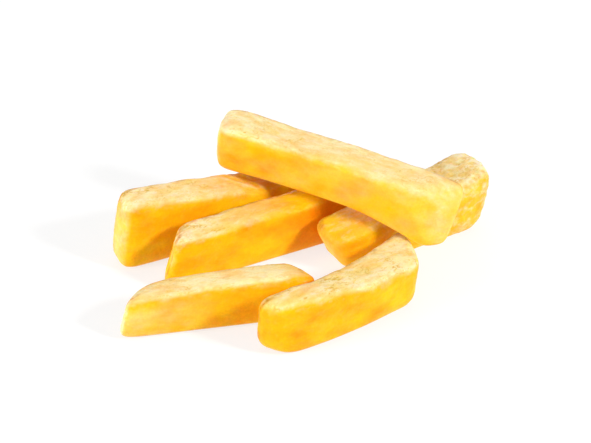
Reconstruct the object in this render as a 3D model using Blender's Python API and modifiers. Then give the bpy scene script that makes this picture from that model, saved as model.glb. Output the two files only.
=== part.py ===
"""A loose heap of thick-cut potato chips: five lie on the table and the longest lies across them.

Metres, +Z up. The origin is at the bottom centre of the heap, and the heap is seen from -Y.
"""

import math
from dataclasses import dataclass

import bmesh
import bpy
from mathutils import Vector, noise
from mathutils.bvhtree import BVHTree

MM = 0.001
HEAP_NAME = "chip_heap"

# How fine the cage of a chip is, and how its surface is worked
SLICES_ALONG = 17
SUBDIVISION = 1
EDGE_TO_CAGE = 1.75  # a cut this many roundings from the corner gives that rounding
CONTACT_GAP = 0.3 * MM
DROP_START = 40.0 * MM
DOME_FADE = 0.4  # share of an end's bulge that is gone at its top and bottom edges
HANG_START = 0.62  # share of the length where an underside starts to reach down
HUMP_PLACE = 0.13  # share of the length where a swelling is highest
HUMP_SPREAD = 0.11  # share of the length over which it falls off

# Sizes of the unevenness: long waves from the knife, short crags from the frying
NOISE_SEED = 5
WAVE_LENGTH = 17.0 * MM
CRAG_LENGTH = 4.5 * MM
FLAT_UNDERSIDE = 2.5 * MM  # below this height a chip has no crags, so it lies flat


@dataclass
class Chip:
    """One cut piece. Sizes are in millimetres, angles in degrees, and lists go from left end to right end."""

    name: str
    middle: tuple
    heading: float
    length: float
    widths: tuple
    heights: tuple
    bend: float = 0.0
    top_tilt: float = 0.0  # how much the far top edge is higher than the near one
    keel: tuple = (0.0, 0.0)  # how much of the far side is cut away at the underside
    hang: float = 0.0  # how far the underside reaches down at the right end
    hump: float = 0.0  # how far the far top edge swells up near the left end
    lean_across: tuple = (0.0, 0.0)  # slope of each end cut across the chip
    lean_up: tuple = (0.0, 0.0)  # slope of each end cut up the chip
    dome: tuple = (0.3, 0.3)  # how far the middle of each end stands out
    foot: tuple = (0.0, 0.0)  # how far the bottom edge of each end stands out
    edge: float = 2.4
    nose: float = 4.0
    pitch: float = 0.0  # how far the right end points up
    wave: float = 0.45
    crag: float = 0.3
    colour: tuple = (0.86, 0.60, 0.16)


BACK_LEFT = Chip(
    name="chip_back_left",
    middle=(-26.1, 8.2),
    heading=31.0,
    length=74.0,
    widths=(14.2, 16.4),
    heights=(25.2, 20.2, 14.6),
    top_tilt=0.4,
    lean_across=(0.1, 0.2),
    lean_up=(0.18, 0.0),
    edge=3.2,
    nose=4.8,
)

MIDDLE_LEFT = Chip(
    name="chip_middle_left",
    middle=(-10.5, -4.1),
    heading=31.0,
    length=68.7,
    widths=(13.0, 13.5),
    heights=(17.6, 17.8, 18.0),
    lean_across=(0.62, -0.1),
    lean_up=(0.28, 0.0),
    foot=(0.8, 0.0),
    edge=2.6,
    nose=4.4,
)

FRONT_LEFT = Chip(
    name="chip_front_left",
    middle=(-24.2, -44.66),
    heading=12.2,
    length=55.0,
    widths=(13.9, 14.2),
    heights=(13.6, 15.5, 15.8),
    top_tilt=-0.8,
    lean_across=(0.57, -0.55),
    lean_up=(0.32, 0.12),
    edge=2.8,
    nose=4.7,
)

FRONT_RIGHT = Chip(
    name="chip_front_right",
    middle=(17.1, -44.6),
    heading=43.6,
    length=62.3,
    widths=(11.2, 20.2),
    heights=(19.0, 16.3, 14.4),
    bend=23.0,
    top_tilt=-0.4,
    lean_across=(-0.52, 1.0),
    lean_up=(0.0, 0.18),
    dome=(2.6, 0.5),
    edge=3.5,
    nose=5.6,
    crag=0.4,
)

RIGHT = Chip(
    name="chip_right",
    middle=(36.6, 5.0),
    heading=35.7,
    length=62.0,
    widths=(17.2, 22.0),
    heights=(14.6, 17.6, 22.2),
    bend=6.0,
    top_tilt=0.6,
    dome=(0.6, 3.4),
    lean_across=(0.1, 0.2),
    lean_up=(-0.44, 0.2),
    edge=4.0,
    nose=6.4,
    wave=0.7,
    crag=0.5,
)

TOP = Chip(
    name="chip_top",
    middle=(12.6, 6.6),
    heading=-31.2,
    length=87.4,
    widths=(16.9, 17.8),
    heights=(16.6, 15.4, 15.3),
    bend=-12.5,
    keel=(2.0, 12.0),
    hang=5.0,
    hump=1.3,
    dome=(0.6, 0.2),
    lean_across=(-0.3, 0.8),
    lean_up=(0.06, -0.42),
    edge=2.5,
    nose=4.4,
    pitch=-2.2,
)

ON_THE_TABLE = (BACK_LEFT, MIDDLE_LEFT, FRONT_LEFT, FRONT_RIGHT, RIGHT)


def clear_scene():
    """Starts from nothing."""
    for old in list(bpy.data.objects):
        bpy.data.objects.remove(old, do_unlink=True)


def between(pair, share):
    """A size that changes evenly from the left end to the right end."""
    return pair[0] + (pair[1] - pair[0]) * share


def through(three, share):
    """A size that runs in a smooth curve through its values at the left end, the middle and the right end."""
    left, middle, right = three
    place = 2.0 * share - 1.0
    return middle + place * (right - left) / 2.0 + place**2 * ((left + right) / 2.0 - middle)


def hanging(chip, share):
    """How far the underside reaches below the rest of it, beyond its last support."""
    return chip.hang * max((share - HANG_START) / (1.0 - HANG_START), 0.0) ** 1.5


def swelling(chip, share, side):
    """How far the top stands up near the left end, most at its far edge."""
    fall = math.exp(-(((share - HUMP_PLACE) / HUMP_SPREAD) ** 2))
    return chip.hump * fall * (1.0 + side) / 2.0


def cut_places(half_size, rounding, cuts):
    """Where a side from -1 to 1 is cut, so that its corners get the rounding."""
    outer = 1.0 - min(EDGE_TO_CAGE * rounding / half_size, 0.7)
    return [outer * (2.0 * step / (cuts - 1) - 1.0) for step in range(cuts)]


def cut_cube(chip):
    """A cube from -1 to 1 cut into slices along the chip and three strips on each side."""
    cage = bmesh.new()
    bmesh.ops.create_cube(cage, size=2.0)
    half_width = sum(chip.widths) / 4.0
    half_height = chip.heights[1] / 2.0
    places = (
        cut_places(chip.length / 2.0, chip.nose, SLICES_ALONG),
        cut_places(half_width, chip.edge, 2),
        cut_places(half_height, chip.edge, 2),
    )
    for axis, cuts in enumerate(places):
        normal = Vector([float(axis == other) for other in range(3)])
        for place in cuts:
            everything = cage.verts[:] + cage.edges[:] + cage.faces[:]
            bmesh.ops.bisect_plane(cage, geom=everything, plane_co=normal * place, plane_no=normal)
    return cage


def bent(along, across, chip):
    """A point of a straight chip moved onto its bend, a round arc in plan."""
    turn = math.radians(chip.bend)
    if abs(turn) < 0.001:
        return along, across
    radius = chip.length / turn
    angle = along / radius
    return (radius - across) * math.sin(angle), radius - (radius - across) * math.cos(angle)


def chip_point(unit, chip):
    """Where a point of the cut cube lies in the chip, in metres from the middle of its underside."""
    share = (unit.x + 1.0) / 2.0
    up = (unit.z + 1.0) / 2.0
    top_width = between(chip.widths, share)
    width = top_width - (1.0 - up) * between(chip.keel, share)
    height = through(chip.heights, share)
    top = height + chip.top_tilt * unit.y + swelling(chip, share, unit.y)
    across = (unit.y + 1.0) / 2.0 * width - top_width / 2.0
    z = up * top - (1.0 - up) * hanging(chip, share)
    cut = [chip.lean_across[end] * across + chip.lean_up[end] * (z - height / 2.0) for end in (0, 1)]
    bulge = between(chip.dome, share) * (1.0 - unit.y**2) * (1.0 - DOME_FADE * unit.z**2)
    foot = between(chip.foot, share) * (1.0 - up) ** 3
    along = unit.x * (chip.length / 2.0 + bulge + foot) + between(cut, share)
    x, y = bent(along, across, chip)
    return Vector((x, y, z)) * MM


def seed_of(chip):
    """An offset into the noise that belongs to this chip alone."""
    return Vector((sum(chip.middle), chip.length, chip.heading))


def wave_at(point, chip):
    """The slow unevenness of the cut faces, zero at the underside."""
    place = point / WAVE_LENGTH + seed_of(chip)
    fade = min(max(point.z / FLAT_UNDERSIDE, 0.0), 1.0)
    return noise.noise_vector(place) * chip.wave * MM * fade


def shape_cage(cage, chip):
    """Gives the cut cube the chip's form."""
    for vert in cage.verts:
        point = chip_point(vert.co, chip)
        vert.co = point + wave_at(point, chip)


def smoothed_mesh(cage, chip):
    """The subdivided surface of the cage, as a mesh of its own."""
    rough = bpy.data.meshes.new(chip.name + "_cage")
    cage.to_mesh(rough)
    cage.free()
    holder = bpy.data.objects.new(chip.name + "_cage", rough)
    bpy.context.scene.collection.objects.link(holder)
    subdivision = holder.modifiers.new("soft form", "SUBSURF")
    subdivision.levels = SUBDIVISION
    subdivision.render_levels = SUBDIVISION
    graph = bpy.context.evaluated_depsgraph_get()
    mesh = bpy.data.meshes.new_from_object(holder.evaluated_get(graph))
    bpy.data.objects.remove(holder, do_unlink=True)
    bpy.data.meshes.remove(rough)
    mesh.name = chip.name
    return mesh


def add_crags(mesh, chip):
    """Raises and sinks the fried surface along its normals, and leaves the underside flat."""
    normals = [vert.normal.copy() for vert in mesh.vertices]
    for vert, normal in zip(mesh.vertices, normals):
        fade = min(max(vert.co.z / FLAT_UNDERSIDE - 1.0, 0.0), 1.0)
        height = noise.fractal(vert.co / CRAG_LENGTH + seed_of(chip), 0.8, 2.0, 2)
        vert.co += normal * height * chip.crag * MM * fade
    mesh.shade_smooth()


def chip_material(chip):
    """Fried potato: warm yellow and slightly oily."""
    material = bpy.data.materials.new(chip.name)
    material.use_nodes = True
    surface = material.node_tree.nodes["Principled BSDF"]
    surface.inputs["Base Color"].default_value = (*chip.colour, 1.0)
    surface.inputs["Roughness"].default_value = 0.45
    surface.inputs["Metallic"].default_value = 0.0
    return material


def add_chip(chip, heap, parent):
    """One chip in its place, standing on the table."""
    cage = cut_cube(chip)
    shape_cage(cage, chip)
    mesh = smoothed_mesh(cage, chip)
    add_crags(mesh, chip)
    mesh.materials.append(chip_material(chip))
    thing = bpy.data.objects.new(chip.name, mesh)
    thing.location = (chip.middle[0] * MM, chip.middle[1] * MM, 0.0)
    thing.rotation_euler = (0.0, -math.radians(chip.pitch), math.radians(chip.heading))
    thing.parent = parent
    heap.objects.link(thing)
    return thing


def surface_of(thing):
    """The points and the searchable surface of a placed chip, in world space."""
    bpy.context.view_layer.update()
    points = [thing.matrix_world @ vert.co for vert in thing.data.vertices]
    faces = [tuple(face.vertices) for face in thing.data.polygons]
    return points, BVHTree.FromPolygons(points, faces)


def clearance(upper, lower):
    """How far the upper chip can sink before it meets the lower one."""
    upper_points, upper_tree = surface_of(upper)
    lower_points, lower_tree = surface_of(lower)
    down = Vector((0.0, 0.0, -1.0))
    drops = [lower_tree.ray_cast(point, down)[3] for point in upper_points]
    drops += [upper_tree.ray_cast(point, -down)[3] for point in lower_points]
    return min((drop for drop in drops if drop is not None), default=math.inf)


def lay_on(upper, supports):
    """Lowers a chip from well above until it lies on the others, a hair clear of them."""
    upper.location.z = DROP_START
    drop = min(clearance(upper, lower) for lower in supports)
    upper.location.z -= drop - CONTACT_GAP


def centre_heap(parent, things):
    """Brings the middle of the heap's outline to the origin."""
    points = [point for thing in things for point in surface_of(thing)[0]]
    for axis in (0, 1):
        values = [point[axis] for point in points]
        parent.location[axis] -= (min(values) + max(values)) / 2.0
    parent.location.z -= min(point.z for point in points)


def build_heap():
    """The whole heap."""
    clear_scene()
    noise.seed_set(NOISE_SEED)
    heap = bpy.data.collections.new(HEAP_NAME)
    bpy.context.scene.collection.children.link(heap)
    parent = bpy.data.objects.new(HEAP_NAME, None)
    heap.objects.link(parent)
    lower = [add_chip(chip, heap, parent) for chip in ON_THE_TABLE]
    top = add_chip(TOP, heap, parent)
    lay_on(top, lower)
    centre_heap(parent, lower + [top])


build_heap()
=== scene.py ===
"""Looks of a loose heap of thick-cut potato chips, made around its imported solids.

Metres, +Z up, seen from -Y. Each chip is the surface of its solid, worked up into a fried crust.
"""

import math
from dataclasses import dataclass

import bmesh
import bpy
import numpy as np
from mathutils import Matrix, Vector, noise


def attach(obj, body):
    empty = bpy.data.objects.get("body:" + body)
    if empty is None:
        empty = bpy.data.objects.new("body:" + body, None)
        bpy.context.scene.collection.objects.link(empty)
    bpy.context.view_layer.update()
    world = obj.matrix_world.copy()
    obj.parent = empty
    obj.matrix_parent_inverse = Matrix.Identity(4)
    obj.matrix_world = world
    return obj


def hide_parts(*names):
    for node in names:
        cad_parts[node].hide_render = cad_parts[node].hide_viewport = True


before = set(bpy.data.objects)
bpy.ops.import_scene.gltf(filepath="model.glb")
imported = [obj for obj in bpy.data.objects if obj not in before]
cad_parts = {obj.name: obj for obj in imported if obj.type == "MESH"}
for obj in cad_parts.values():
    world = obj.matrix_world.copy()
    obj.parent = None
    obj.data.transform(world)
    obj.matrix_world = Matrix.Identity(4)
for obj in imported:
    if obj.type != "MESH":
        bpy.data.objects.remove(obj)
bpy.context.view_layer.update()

MM = 0.001

# The surface mesh: its grain, and how far facets and edges are smoothed
VOXEL = 0.28 * MM
JOIN_DISTANCE = 0.001 * MM
FACET_ROUNDS = 2
FACET_SMOOTHING = 55
FORM_SMOOTHING = 60  # this much more smoothing shows which way the faces of the cut look

# Relief of the crust, in millimetres: size of a feature, then how far it stands out
LUMP_SIZE, LUMP_HEIGHT = 7.5, 0.34
CRAG_SIZE, CRAG_HEIGHT = 2.6, 0.09
BLISTER_SIZE, BLISTER_HEIGHT = 1.6, 0.12
CHIPPING_SIZE, CHIPPING_HEIGHT = 3.0, 0.26
FLAKE_SIZE, FLAKE_HEIGHT = 1.7, 0.09
CRACK_SIZE, CRACK_DEPTH = 3.6, 0.20
SCRATCH_LENGTH, SCRATCH_WIDTH, SCRATCH_DEPTH = 3.6, 1.2, 0.09
POCK_SIZE, POCK_DEPTH = 3.2, 0.45
FOLD_SIZE, FOLD_HEIGHT = 2.2, 0.7
FOLD_LENGTH = 3.0 * FOLD_SIZE
FOLD_SPREAD = 0.08  # share of the chip's length over which wrinkles fade
FOLD_SLANT = np.array(((1.0, 0.0, 0.0), (0.6, 1.0, 0.0), (0.3, 0.0, 1.0)))  # how far wrinkles lean
FIBRE_STRETCH = 1.8  # fibres are this much longer along the chip than across it
BLISTER_GAP = 1.6  # higher makes smaller bubbles with more room between them

# Noise: how fast its finer layers fade, how much finer each one is, and how many there are
GROUND = (0.9, 2.1, 4)
CHIP_STEP = 37.0  # each chip takes its noise from this much further on

# Patches where a feature gathers: size in millimetres, a shift, and the noise between which they fade in
CRACKED_PATCHES = (6.0, 5.0, (0.0, 0.35))
SCRATCHED_PATCHES = (4.0, 2.0, (-0.25, 0.25))
BLISTERED_PATCHES = (7.0, 0.0, (-0.1, 0.4))

# Lines where noise is near zero: how near it has to be, and how many there are on flakes and elsewhere
CRACK_LINE = (0.0, 0.09)
CRACKS_ON_FLAKES = 1.6
SCRATCH_LINE = (0.0, 0.10)
SCRATCH_SHIFT = 3.0
SCRATCHES_ON_FLAKES, SCRATCHES_ELSEWHERE = 1.4, 0.1

# Which way the surface looks, -1 to 1: from where something begins to show to where it shows fully
FLAKY_TOP = (0.1, 0.7)
FOLDED_TOP = (0.4, 0.85)
PALE_TOP = (0.3, 0.8)
GOLDEN_TOP = (0.2, 0.7)
NEAR_SIDE = (0.2, 0.55)
NEAR_SIDE_TOP = (0.15, 0.5)
FAR_SIDE = (-0.02, 0.14)
END_CUT = (0.5, 0.85)
WIDE_END_CUT = (0.15, 0.5)
TIP = (0.2, 0.6)
UNDERSIDE = (0.3, 0.7)

# How far an edge stands out from the smoothed form, and how high a point lies, in millimetres
EDGE = (0.12, 0.45)
FAR_EDGE = (0.02, 0.14)
# Height band, from the floor up, of the painted shade along the foot of a resting chip
FOOT_SHADE_BAND = (0.3, 1.1)
ABOVE_CALM = (0.6, 2.0)
CALMED_UNDERSIDE = 0.8  # share of the relief that the underside of a chip on top loses

# How pale a part is, then how much that changes from patch to patch. The pale upper side is partly paler
# crust and partly a painted sheen of the light from above
PATCH_SIZE = 5.5
TOP_PALENESS = (0.85, 0.35)
SIDE_PALENESS = (1.0, 1.2)
END_PALENESS = (0.85, 0.45)
TOP_PATCHES = 0.18  # how far patches make the border of the pale top ragged
REACH_PATCHES, REACH_FADE = 1.5, 2.0  # the same for the paleness along the chip, in millimetres

# Creamy crust: how strong it is in all, then how much each thing adds and where that shows
CREAM_STRENGTH = 0.7
CREAM_FLAKES, CREAM_FLAKE_PATCHES, HIGH_FLAKES = 0.75, 0.5, (-0.2, 0.7)
# The cream on the upper edge towards the viewer is partly worn crust and partly a painted highlight
CREAM_AND_HIGHLIGHT_EDGES, CREAM_EDGE_FLAKES, EDGE_PATCH_SPAN = 0.3, 0.4, (-0.5, 0.4)
CREAM_FOLDS, FOLD_RIDGES = 0.35, (0.05, 0.35)

# Tanned crust, in the same way
TAN_STRENGTH = 0.75
TAN_FLAKES, TAN_FLAKE_PATCHES, LOW_FLAKES = 0.45, 0.2, (0.2, 0.7)
TAN_CRACKS, TAN_SCRATCHES = 1.6, 1.1
TAN_POCKS, DEEP_POCKS = 0.75, (0.15, 0.55)
TAN_FOLDS, FOLD_FURROWS = 0.6, (0.05, 0.4)

# Browned crust, in the same way, with the painted shade along the foot among it
BROWN_FAR_EDGES, RAGGED_SIZE, RAGGED = 0.9, 2.4, (-0.7, 0.3)
BROWN_SPOTS, SPOT_SIZE, SPOT_PATCHES, SPOTTED = 0.12, 3.2, 0.3, (0.35, 0.8)
PAINTED_FOOT_SHADE, BROWN_CRACKS = 0.9, 0.2

# Gold of the skin, 0 for deep and 1 for light. Deeper gold laid on sides where shade falls is painted
# shade, and it is kept off the tops
GOLD_LEVEL = 0.7
MOTTLE, MOTTLE_SIZE, MOTTLE_SHIFT = 0.6, (11.0, 6.0, 6.0), 9.0
DEEP_AND_PAINTED_SHADE_LOST_ON_TOP = 0.8

# Colours
GOLD = (0.90, 0.53, 0.004)
# DEEP is the deep gold of the mottle and also the colour of painted shade
DEEP = (0.93, 0.30, 0.002)
# PALE is partly paler crust and partly a painted sheen on the upper sides
PALE = (0.91, 0.75, 0.37)
# CREAM is also the colour of the painted highlight on the near upper edges
CREAM = (0.93, 0.81, 0.62)
TAN = (0.79, 0.48, 0.05)
# BROWN is also the colour of the painted shade along the foot
BROWN = (0.55, 0.23, 0.01)
WHITE = (1.0, 1.0, 1.0, 1.0)

# Noise of the material: features in a metre, detail, and how far it is drawn out along the chip
GRAIN = (1500.0, 3.0)
CRUMBS = (700.0, 4.0)
FIBRE = (420.0, 5.0, (2.6, 1.0, 1.0))

# Colours laid over the gold: a field on the mesh, its colour, the noise that breaks it up, the
# stretch of that noise that counts, and how strong the colour is at either end of it
TONES = (
    ("pale", PALE, "fibre", (0.34, 0.62), (0.65, 1.2)),
    ("cream", CREAM, "crumbs", (0.35, 0.62), (0.5, 1.25)),
    ("tan", TAN, "crumbs", (0.62, 0.38), (0.7, 1.2)),
    ("brown", BROWN, "grain", (0.35, 0.6), (0.6, 1.15)),
)

# Finish of the material. Pairs are a stretch of noise and what it is brought to
SHADE_NOISE, SHADE = (0.35, 0.65), (0.94, 1.03)
ROUGHNESS_NOISE, ROUGHNESS = (0.3, 0.7), (0.36, 0.5)
GLOSS = 0.2
GLOSS_TINT = (1.0, 0.85, 0.25, 1.0)
SCATTER = 0.5
SCATTER_RADIUS = (1.0, 0.45, 0.08)
SCATTER_DEPTH = 3.0 * MM
GRAIN_STRENGTH = 0.25
GRAIN_DEPTH = 0.1 * MM

# Camera
TARGET = Vector((-2.70, 16.21, 10.0)) * MM
DISTANCE = 500.0 * MM
ELEVATION = math.radians(29.0)
LENS = 91.37
SENSOR = 36.0
CLIP_START = 0.01

# Floor and room
FLOOR_SIZE = 3.0
FLOOR_DROP = 0.02 * MM
FLOOR_GREY = (0.3, 0.3, 0.3, 1.0)
FLOOR_ROUGHNESS = 0.9
FLOOR_GLOSS = 0.1
FLOOR_GLOW = 0.72
ROOM_GLOW = 0.3

# Square lamps: name, azimuth and elevation in degrees, width in metres and watts
LAMP_DISTANCE = 0.9
LAMPS = (
    ("key", 60.0, 31.0, 0.14, 6.5),
    ("overhead", 170.0, 62.0, 0.7, 1.1),
    ("fill", -62.0, 16.0, 0.35, 7.1),
    ("back", 180.0, 14.0, 0.6, 2.4),
)


@dataclass
class Look:
    """How one chip is fried. Lists of amounts go from its left end to its right end."""

    node: str
    heading: float  # degrees, along the chip
    rough: tuple = (1.0, 1.0)  # how strong its relief is
    pale: tuple = (1.0, 1.0)  # how pale its upper side is, partly a painted sheen; low or below zero as painted shade under the top chip
    reach: tuple = (0.0, 0.0)  # how far that pale side reaches round the edges
    sides: tuple = (0.0, 0.0)  # how pale its other sides are; below zero as painted shade
    deep_and_painted_shade: tuple = (0.0, 0.0)  # how much deeper its gold is than the others', partly painted shade on sides that its neighbours shade; below zero it is painted light
    ends: tuple = (0.0, 0.0)  # how pale its end cuts are
    ends_reach: tuple = (0.0, 0.0)  # how far that paleness reaches along the chip, in millimetres
    crown: tuple = (0.0, 0.0)  # how far its end cuts bulge, in millimetres
    tips: tuple = (0.3, 0.3)  # how browned the edges of its end cuts are
    brown: tuple = (1.0, 1.0)  # how browned it is elsewhere
    flaky: tuple = (0.6, 0.6)  # how much its crust is broken into paler and darker flakes
    side_flakes: tuple = (0.05, 0.05)  # share of those flakes on its other sides
    pocks: tuple = (0.0, 0.0)  # how deep its pocks are
    fold: tuple = (0.5, 0.0)  # share of the length where its skin is wrinkled, and how strongly
    rests: bool = True  # lies on the table, so its underside stays flat


LOOKS = (
    Look(
        "chip_back_left",
        31.0,
        # Painted shade: the pale upper side fades out at the right end, under the top chip
        pale=(1.1, 0.6, -1.0),
        ends=(0.3, 0.0),
        tips=(0.4, 0.0),
        flaky=(0.8, 0.5, 0.0),
        # Painted light: the gold is made lighter at the right end, in the shaded gap under the top chip
        deep_and_painted_shade=(0.0, 0.0, -0.2),
        fold=(0.62, 1.0),
    ),
    Look(
        "chip_middle_left",
        31.0,
        rough=(1.2, 0.9),
        # Painted shade: the pale upper side fades out at the right end, under the top chip
        pale=(1.25, 0.3, -0.6),
        tips=(0.5, 0.3),
        flaky=(1.1, 0.25, 0.0),
        # Painted shade: deeper gold at the right end, where the top chip and the right chip shade the front
        deep_and_painted_shade=(-0.1, 0.0, 1.8),
    ),
    Look(
        "chip_front_left",
        12.2,
        rough=(0.8, 0.8),
        pale=(0.9, 1.1),
        reach=(0.1, -0.05, -0.3),
        # Painted shade: the front is less pale at the right end, where the front right chip shades it
        sides=(0.3, 0.0, -0.3),
        ends=(0.9, 0.2),
        tips=(0.4, 1.2),
        flaky=(0.5, 0.35),
        # Painted shade: deeper gold towards the right end, where the front right chip shades the front
        deep_and_painted_shade=(-0.2, 0.5),
    ),
    Look(
        "chip_front_right",
        43.6,
        pale=(0.7, 1.3),
        tips=(0.2, 0.6),
        flaky=(0.8, 0.8),
        deep_and_painted_shade=(0.1, 0.0),
    ),
    Look(
        "chip_right",
        35.7,
        rough=(0.9, 1.3),
        pale=(0.0, 0.4, 1.3),
        sides=(0.0, 0.05),
        ends=(0.1, 0.2),
        tips=(0.7, 0.2),
        brown=(0.8, 0.35),
        flaky=(0.4, 0.6, 1.1),
        side_flakes=(0.1, 0.9),
        pocks=(0.25, 0.2, 1.0),
        crown=(0.0, 0.4),
    ),
    Look(
        "chip_top",
        -31.2,
        rough=(0.8, 0.6),
        pale=(0.9, 0.9),
        reach=(0.25, 0.0, 0.0, 0.0),
        sides=(0.06, 0.12),
        ends=(0.75, 0.2),
        ends_reach=(5.0, 0.0),
        tips=(0.1, 0.0),
        brown=(0.8, 0.7),
        flaky=(0.45, 0.3),
        deep_and_painted_shade=(0.1, -0.2),
        rests=False,
    ),
)


def node_mesh(node):
    """A copy of a node's surface with its split corners joined, remade as an even fine grid."""
    cage = bmesh.new()
    cage.from_mesh(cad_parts[node].data)
    bmesh.ops.remove_doubles(cage, verts=cage.verts[:], dist=JOIN_DISTANCE)
    rough = bpy.data.meshes.new(node + "_copy")
    cage.to_mesh(rough)
    cage.free()
    holder = bpy.data.objects.new(node + "_copy", rough)
    bpy.context.scene.collection.objects.link(holder)
    rounding = holder.modifiers.new("round facets", "SUBSURF")
    rounding.levels = FACET_ROUNDS
    remesh = holder.modifiers.new("even grid", "REMESH")
    remesh.mode = "VOXEL"
    remesh.voxel_size = VOXEL
    graph = bpy.context.evaluated_depsgraph_get()
    mesh = bpy.data.meshes.new_from_object(holder.evaluated_get(graph))
    bpy.data.objects.remove(holder, do_unlink=True)
    bpy.data.meshes.remove(rough)
    return mesh


def points_of(mesh):
    """The mesh's points as an array."""
    flat = np.empty(len(mesh.vertices) * 3, np.float32)
    mesh.vertices.foreach_get("co", flat)
    return flat.reshape(-1, 3).astype(float)


def set_points(mesh, points):
    """Writes an array of points back into the mesh."""
    mesh.vertices.foreach_set("co", points.astype(np.float32).ravel())
    mesh.update()


def normals_of(mesh):
    """The mesh's point normals as an array."""
    flat = np.empty(len(mesh.vertices) * 3, np.float32)
    mesh.vertex_normals.foreach_get("vector", flat)
    return flat.reshape(-1, 3).astype(float)


def add_field(mesh, name, values):
    """Keeps a number from 0 to 1 for each point, for the material."""
    layer = mesh.attributes.new(name, "FLOAT", "POINT")
    layer.data.foreach_set("value", np.clip(values, 0.0, 1.0).astype(np.float32))


class Spreader:
    """Averages values over the neighbours of each point of a mesh."""

    def __init__(self, mesh):
        edges = np.empty(len(mesh.edges) * 2, np.int32)
        mesh.edges.foreach_get("vertices", edges)
        self.a, self.b = edges.reshape(-1, 2).T
        self.count = len(mesh.vertices)
        self.degree = np.bincount(np.concatenate((self.a, self.b)), minlength=self.count)

    def around(self, values):
        """The mean over each point's neighbours."""
        total = np.bincount(self.a, values[self.b], self.count)
        total += np.bincount(self.b, values[self.a], self.count)
        return total / self.degree

    def smooth(self, values, times):
        """Columns of values, each softened this many times."""
        columns = values.T
        for _ in range(times):
            columns = np.array([(column + self.around(column)) / 2.0 for column in columns])
        return columns.T


def ramp(values, limits):
    """A soft step from 0 at the first limit to 1 at the second."""
    low, high = limits
    share = np.clip((values - low) / (high - low), 0.0, 1.0)
    return share * share * (3.0 - 2.0 * share)


def between(amounts, share):
    """An amount along the chip, from amounts spaced evenly from its left end to its right end."""
    return np.interp(share, np.linspace(0.0, 1.0, len(amounts)), amounts)


def field(places, kind):
    """A noise value for each place, by one of the functions below."""
    return np.array([kind(Vector(place)) for place in places])


def fractal(place):
    """Uneven ground, about -1 to 1."""
    return noise.fractal(place, *GROUND)


def soft(place):
    """A slow swell, -1 to 1."""
    return noise.noise(place)


def blister(place):
    """Round bubbles, 1 at their middle and 0 between them."""
    return max(1.0 - BLISTER_GAP * noise.voronoi(place)[0][0], 0.0)


def gathered(place, size, shift, limits):
    """Patches where a feature gathers, 1 inside them and 0 between them."""
    return ramp(field(place / size + shift, soft), limits)


def along_chip(vectors, look):
    """Vectors turned so that X runs along the chip and Y across it."""
    turn = math.radians(look.heading)
    along = vectors[:, 0] * math.cos(turn) + vectors[:, 1] * math.sin(turn)
    across = vectors[:, 1] * math.cos(turn) - vectors[:, 0] * math.sin(turn)
    return np.column_stack((along, across, vectors[:, 2]))


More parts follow.
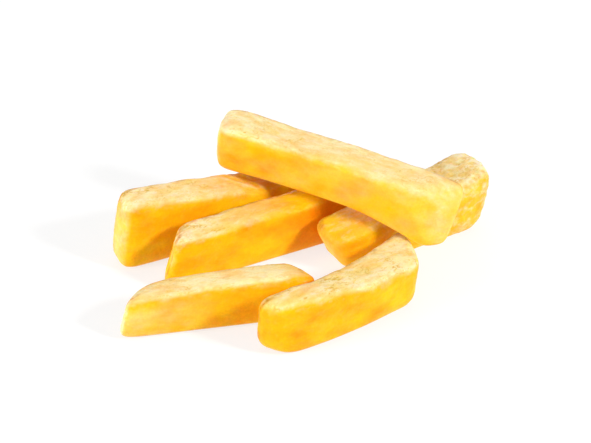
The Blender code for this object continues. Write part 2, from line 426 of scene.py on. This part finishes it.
class Chip:
    """The surface of one chip: its points, where its faces look, and where each point lies along it."""

    def __init__(self, look, number):
        self.look = look
        self.mesh = node_mesh(look.node)
        self.measure_form(Spreader(self.mesh))
        self.measure_place(number)
        self.find_features()

    def measure_form(self, spreader):
        """Smooths the surface, then finds its edges and which way its faces look."""
        self.points = spreader.smooth(points_of(self.mesh), FACET_SMOOTHING)
        set_points(self.mesh, self.points)
        self.normals = normals_of(self.mesh)
        form = spreader.smooth(self.points, FORM_SMOOTHING)
        self.edge = ((self.points - form) * self.normals).sum(1) / MM
        self.facing = along_chip(spreader.smooth(self.normals, FORM_SMOOTHING), self.look)
        self.outward = self.facing[:, 1]
        self.upward = self.facing[:, 2]
        self.height = self.points[:, 2] / MM

    def measure_place(self, number):
        """Finds where each point lies along the chip, and the places its noise is taken from."""
        place = along_chip(self.points, self.look) / MM
        left, right = place[:, 0].min(), place[:, 0].max()
        self.length = right - left
        self.share = (place[:, 0] - left) / self.length
        self.place = place + number * CHIP_STEP
        self.fibre = self.place / (FIBRE_STRETCH, 1.0, 1.0)

    def find_features(self):
        """Finds the features that shape the crust as well as colour it."""
        self.crags = field(self.fibre / CRAG_SIZE, fractal)
        self.flakes = field(self.fibre / FLAKE_SIZE, fractal)
        self.patches = field(self.fibre / PATCH_SIZE, fractal)
        self.flaky = self.flaky_share()
        self.cracks = self.crack_lines()
        self.scratches = self.scratch_lines()
        self.pocks = field(self.place / POCK_SIZE, blister) * between(self.look.pocks, self.share)
        self.folds = self.fold_lines()

    def at_ends(self, pair, limits):
        """An amount on the left end and one on the right end, none where the surface turns away."""
        left, right = (ramp(sign * self.facing[:, 0], limits) for sign in (-1.0, 1.0))
        return pair[0] * left + pair[1] * right

    def near_ends(self, pair, reach):
        """An amount from each end up to so many millimetres along the chip, with a ragged edge."""
        total = np.zeros(len(self.share))
        for amount, far, share in zip(pair, reach, (self.share, 1.0 - self.share)):
            if far > 0.0:
                ragged = share * self.length + REACH_PATCHES * self.patches
                total += amount * (1.0 - ramp(ragged, (far - REACH_FADE, far + REACH_FADE)))
        return total

    def flaky_share(self):
        """Where the crust is broken into flakes: on top, on pale end cuts and less on the other sides."""
        look = self.look
        share = np.maximum(ramp(self.upward, FLAKY_TOP), self.at_ends(look.ends, END_CUT))
        share = np.maximum(share, between(look.side_flakes, self.share))
        return share * between(look.flaky, self.share)

    def crack_lines(self):
        """Thin lines where the crust has split, in patches."""
        veins = np.abs(field(self.fibre / CRACK_SIZE, fractal))
        patches = gathered(self.place, *CRACKED_PATCHES)
        return (1.0 - ramp(veins, CRACK_LINE)) * patches * np.minimum(CRACKS_ON_FLAKES * self.flaky, 1.0)

    def scratch_lines(self):
        """Short fine marks along the chip, all over its flaky crust."""
        stretch = (SCRATCH_LENGTH, SCRATCH_WIDTH, SCRATCH_WIDTH)
        veins = np.abs(field(self.place / stretch + SCRATCH_SHIFT, fractal))
        patches = gathered(self.place, *SCRATCHED_PATCHES)
        share = np.minimum(SCRATCHES_ON_FLAKES * self.flaky + SCRATCHES_ELSEWHERE, 1.0)
        return (1.0 - ramp(veins, SCRATCH_LINE)) * patches * share

    def fold_lines(self):
        """Wrinkles that run across the chip at one place, -1 to 1."""
        middle, strength = self.look.fold
        if strength == 0.0:
            return np.zeros(len(self.share))
        nearby = np.exp(-(((self.share - middle) / FOLD_SPREAD) ** 2)) * ramp(self.upward, FOLDED_TOP)
        slanted = self.place @ FOLD_SLANT
        return field(slanted / (FOLD_SIZE, FOLD_LENGTH, FOLD_LENGTH), soft) * nearby * strength

    def kept_relief(self):
        """Share of the relief each point keeps: less at an underside that rests or lies over the others."""
        if self.look.rests:
            return ramp(self.height, ABOVE_CALM)
        return 1.0 - CALMED_UNDERSIDE * ramp(-self.normals[:, 2], UNDERSIDE)

    def bulge(self):
        """The bulge of the end cuts in millimetres, highest halfway up."""
        up = (self.height - self.height.min()) / (self.height.max() - self.height.min())
        return self.at_ends(self.look.crown, WIDE_END_CUT) * np.sin(np.pi * up)

    def roughen(self):
        """Works the surface into a crust."""
        blisters = field(self.place / BLISTER_SIZE, blister) * gathered(self.place, *BLISTERED_PATCHES)
        chipping = field(self.place / CHIPPING_SIZE, fractal) * ramp(self.edge, EDGE)
        relief = field(self.place / LUMP_SIZE, soft) * LUMP_HEIGHT + self.crags * CRAG_HEIGHT
        relief += blisters * BLISTER_HEIGHT + chipping * CHIPPING_HEIGHT
        relief += self.flakes * self.flaky * FLAKE_HEIGHT
        relief -= self.cracks * CRACK_DEPTH + self.scratches * SCRATCH_DEPTH
        relief += self.folds * FOLD_HEIGHT - self.pocks * POCK_DEPTH
        relief *= between(self.look.rough, self.share)
        relief += self.bulge()
        relief *= self.kept_relief() * MM
        set_points(self.mesh, self.points + self.normals * relief[:, None])

    def colour(self):
        """Keeps how pale, creamy, tanned, browned and golden each point is, with a painted sheen, a painted
        highlight and painted shade among them.
        """
        add_field(self.mesh, "pale", self.pale())
        add_field(self.mesh, "cream", CREAM_STRENGTH * self.cream())
        add_field(self.mesh, "tan", TAN_STRENGTH * self.tan())
        add_field(self.mesh, "brown", self.brown() * between(self.look.brown, self.share))
        add_field(self.mesh, "gold", self.gold())

    def patchy(self, level, change):
        """A level that changes from patch to patch."""
        return level + change * self.patches

    def pale(self):
        """Pale skin with a painted sheen on top, on some end cuts and a little on some sides."""
        look = self.look
        # Painted sheen: the upper side is made paler, as if lit from above
        on_top = ramp(self.upward + TOP_PATCHES * self.patches + between(look.reach, self.share), PALE_TOP)
        pale = on_top * between(look.pale, self.share) * self.patchy(*TOP_PALENESS)
        pale += (1.0 - on_top) * between(look.sides, self.share) * self.patchy(*SIDE_PALENESS)
        cuts = np.maximum(self.at_ends(look.ends, END_CUT), self.near_ends(look.ends, look.ends_reach))
        return pale + cuts * self.patchy(*END_PALENESS)

    def cream(self):
        """Creamy crust: high flakes, the upper edge towards the viewer, which is partly a painted
        highlight, and the ridges of wrinkles.
        """
        # Painted highlight, partly worn crust: cream on the upper edge that faces the viewer and the lamps
        near_edge_highlight = ramp(self.edge, EDGE) * ramp(-self.outward, NEAR_SIDE)
        near_edge_highlight *= ramp(self.upward, NEAR_SIDE_TOP)
        flakes = ramp(self.flakes + CREAM_FLAKE_PATCHES * self.patches, HIGH_FLAKES)
        edge_patches = ramp(self.patches + CREAM_EDGE_FLAKES * self.flakes, EDGE_PATCH_SPAN)
        cream = CREAM_FLAKES * self.flaky * flakes
        cream += CREAM_AND_HIGHLIGHT_EDGES * near_edge_highlight * edge_patches
        return cream + CREAM_FOLDS * ramp(self.folds, FOLD_RIDGES)

    def tan(self):
        """Tanned crust: low flakes, cracks, scratches, pocks and the furrows of wrinkles."""
        tan = TAN_FLAKES * self.flaky * ramp(-self.flakes - TAN_FLAKE_PATCHES * self.patches, LOW_FLAKES)
        tan += TAN_CRACKS * self.cracks + TAN_SCRATCHES * self.scratches
        pocks = TAN_POCKS * ramp(self.pocks, DEEP_POCKS)
        folds = TAN_FOLDS * ramp(-self.folds, FOLD_FURROWS)
        return tan + (pocks + folds)

    def brown(self):
        """Browned crust: the far edge, the tips, cracks and spots, with painted shade along the foot."""
        far_edge = ramp(self.edge, FAR_EDGE) * ramp(self.outward, FAR_SIDE)
        tips = ramp(self.edge, EDGE) * self.at_ends(self.look.tips, TIP)
        ragged = ramp(field(self.place / RAGGED_SIZE, fractal), RAGGED)
        spots = ramp(field(self.place / SPOT_SIZE, fractal) + SPOT_PATCHES * self.patches, SPOTTED)
        # Painted shade: a dark line along the foot, where a resting chip meets the floor
        foot_shade = 1.0 - ramp(self.height, FOOT_SHADE_BAND) if self.look.rests else 0.0
        brown = BROWN_FAR_EDGES * far_edge * ragged + tips
        return brown + PAINTED_FOOT_SHADE * foot_shade + BROWN_SPOTS * spots + BROWN_CRACKS * self.cracks

    def gold(self):
        """Golden skin, 0 where it is deep and 1 where it is light, with painted shade as deeper gold on
        shaded sides.
        """
        mottle = field(self.place / MOTTLE_SIZE + MOTTLE_SHIFT, fractal)
        # Painted shade: deeper gold on the sides where neighbours shade them, and painted light where the
        # amount is below zero
        deep_and_painted_shade = between(self.look.deep_and_painted_shade, self.share)
        deep_and_painted_shade *= 1.0 - DEEP_AND_PAINTED_SHADE_LOST_ON_TOP * ramp(self.upward, GOLDEN_TOP)
        return GOLD_LEVEL - deep_and_painted_shade + MOTTLE * mottle


class Nodes:
    """Builds one material's nodes, each call giving the new node's output."""

    def __init__(self, name):
        self.material = bpy.data.materials.new(name)
        self.material.use_nodes = True
        self.tree = self.material.node_tree
        self.surface = self.tree.nodes["Principled BSDF"]

    def link(self, output, socket):
        """Leads a node's output into a socket."""
        self.tree.links.new(output, socket)

    def attribute(self, name):
        """One of the fields kept on the mesh."""
        node = self.tree.nodes.new("ShaderNodeAttribute")
        node.attribute_name = name
        return node.outputs["Fac"]

    def speckle(self, scale, detail, stretch=(1.0, 1.0, 1.0), turn=0.0):
        """Noise in the object's own space, which may be drawn out along the chip."""
        place = self.tree.nodes.new("ShaderNodeTexCoord").outputs["Object"]
        mapping = self.tree.nodes.new("ShaderNodeMapping")
        mapping.vector_type = "TEXTURE"
        mapping.inputs["Rotation"].default_value = (0.0, 0.0, turn)
        mapping.inputs["Scale"].default_value = stretch
        self.link(place, mapping.inputs["Vector"])
        node = self.tree.nodes.new("ShaderNodeTexNoise")
        node.inputs["Scale"].default_value = scale
        node.inputs["Detail"].default_value = detail
        self.link(mapping.outputs["Vector"], node.inputs["Vector"])
        return node.outputs["Fac"]

    def remap(self, value, source, target):
        """A value brought from one range to another."""
        node = self.tree.nodes.new("ShaderNodeMapRange")
        for socket, number in zip(node.inputs[1:5], (*source, *target)):
            socket.default_value = number
        self.link(value, node.inputs["Value"])
        return node.outputs["Result"]

    def times(self, first, second):
        """Two values multiplied."""
        node = self.tree.nodes.new("ShaderNodeMath")
        node.operation = "MULTIPLY"
        self.link(first, node.inputs[0])
        self.link(second, node.inputs[1])
        return node.outputs["Value"]

    def grey(self, value):
        """A grey as bright as a value."""
        node = self.tree.nodes.new("ShaderNodeCombineColor")
        for socket in node.inputs:
            self.link(value, socket)
        return node.outputs["Color"]

    def mix(self, share, first, second, blend="MIX"):
        """Two colours mixed by a share. A tuple is a colour of its own."""
        node = self.tree.nodes.new("ShaderNodeMix")
        node.data_type = "RGBA"
        node.blend_type = blend
        for socket, colour in ((node.inputs[6], first), (node.inputs[7], second)):
            if isinstance(colour, tuple):
                socket.default_value = (*colour, 1.0)
            else:
                self.link(colour, socket)
        if isinstance(share, float):
            node.inputs[0].default_value = share
        else:
            self.link(share, node.inputs[0])
        return node.outputs[2]

    def bump(self, height):
        """Normals roughened by a fine height."""
        node = self.tree.nodes.new("ShaderNodeBump")
        node.inputs["Strength"].default_value = GRAIN_STRENGTH
        node.inputs["Distance"].default_value = GRAIN_DEPTH
        self.link(height, node.inputs["Height"])
        return node.outputs["Normal"]


def fried_material(look):
    """Fried potato: golden, paler on top, flaky, browned at edges and in spots, and slightly oily."""
    nodes = Nodes(look.node)
    grain = nodes.speckle(*GRAIN)
    crumbs = nodes.speckle(*CRUMBS)
    fibre = nodes.speckle(*FIBRE, math.radians(look.heading))
    speckles = {"grain": grain, "crumbs": crumbs, "fibre": fibre}
    colour = nodes.mix(nodes.attribute("gold"), DEEP, GOLD)
    for name, tone, speckle, source, target in TONES:
        broken = nodes.remap(speckles[speckle], source, target)
        colour = nodes.mix(nodes.times(nodes.attribute(name), broken), colour, tone)
    shade = nodes.grey(nodes.remap(grain, SHADE_NOISE, SHADE))
    colour = nodes.mix(1.0, colour, shade, "MULTIPLY")

    surface = nodes.surface
    nodes.link(colour, surface.inputs["Base Color"])
    nodes.link(nodes.remap(crumbs, ROUGHNESS_NOISE, ROUGHNESS), surface.inputs["Roughness"])
    nodes.link(nodes.bump(grain), surface.inputs["Normal"])
    surface.inputs["Specular IOR Level"].default_value = GLOSS
    surface.inputs["Specular Tint"].default_value = GLOSS_TINT
    surface.inputs["Subsurface Weight"].default_value = SCATTER
    surface.inputs["Subsurface Radius"].default_value = SCATTER_RADIUS
    surface.inputs["Subsurface Scale"].default_value = SCATTER_DEPTH
    return nodes.material


def add_chip(look, number):
    """One fried chip in place of its solid."""
    surface = Chip(look, number)
    surface.roughen()
    surface.colour()
    mesh = surface.mesh
    mesh.name = look.node + "_fried"
    mesh.shade_smooth()
    mesh.materials.clear()
    mesh.materials.append(fried_material(look))
    chip = bpy.data.objects.new(look.node + "_fried", mesh)
    bpy.context.scene.collection.objects.link(chip)
    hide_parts(look.node)
    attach(chip, "root")


def floor_material():
    """Matt white with a glow of its own."""
    material = bpy.data.materials.new("floor")
    material.use_nodes = True
    surface = material.node_tree.nodes["Principled BSDF"]
    surface.inputs["Base Color"].default_value = FLOOR_GREY
    surface.inputs["Roughness"].default_value = FLOOR_ROUGHNESS
    surface.inputs["Specular IOR Level"].default_value = FLOOR_GLOSS
    surface.inputs["Emission Color"].default_value = WHITE
    surface.inputs["Emission Strength"].default_value = FLOOR_GLOW
    return material


def add_floor():
    """A plain white table, wide enough to hide its own edge from the camera."""
    half = FLOOR_SIZE / 2.0
    mesh = bpy.data.meshes.new("floor")
    corners = [(-half, -half, 0.0), (half, -half, 0.0), (half, half, 0.0), (-half, half, 0.0)]
    mesh.from_pydata(corners, [], [(0, 1, 2, 3)])
    mesh.materials.append(floor_material())
    floor = bpy.data.objects.new("floor", mesh)
    floor.location.z = -FLOOR_DROP
    bpy.context.scene.collection.objects.link(floor)


def aim(thing, target):
    """Turns a lamp or camera towards a point."""
    direction = Vector(target) - thing.location
    thing.rotation_euler = direction.to_track_quat("-Z", "Y").to_euler()


def add_lamp(name, azimuth, elevation, width, watts):
    """A square soft light. Azimuth 0 is the camera's side and grows to the right."""
    lamp = bpy.data.lights.new(name, "AREA")
    lamp.size = width
    lamp.energy = watts
    thing = bpy.data.objects.new(name, lamp)
    around, up = math.radians(azimuth), math.radians(elevation)
    away = Vector((math.sin(around) * math.cos(up), -math.cos(around) * math.cos(up), math.sin(up)))
    thing.location = TARGET + away * LAMP_DISTANCE
    bpy.context.scene.collection.objects.link(thing)
    aim(thing, TARGET)


def add_light():
    """A white room, a key from the right, a fill from the left and broad lights overhead and behind."""
    world = bpy.data.worlds.new("studio")
    world.use_nodes = True
    room = world.node_tree.nodes["Background"]
    room.inputs["Color"].default_value = WHITE
    room.inputs["Strength"].default_value = ROOM_GLOW
    bpy.context.scene.world = world
    for lamp in LAMPS:
        add_lamp(*lamp)


def add_camera():
    """The photograph's viewpoint: from the front, looking down at the heap."""
    camera = bpy.data.cameras.new("camera")
    camera.lens = LENS
    camera.sensor_width = SENSOR
    camera.clip_start = CLIP_START
    thing = bpy.data.objects.new("camera", camera)
    thing.location = TARGET + Vector((0.0, -math.cos(ELEVATION), math.sin(ELEVATION))) * DISTANCE
    bpy.context.scene.collection.objects.link(thing)
    aim(thing, TARGET)
    bpy.context.scene.camera = thing


add_camera()
add_floor()
add_light()
for index, chip_look in enumerate(LOOKS):
    add_chip(chip_look, index + 1)
bpy.context.scene.view_settings.view_transform = "Standard"
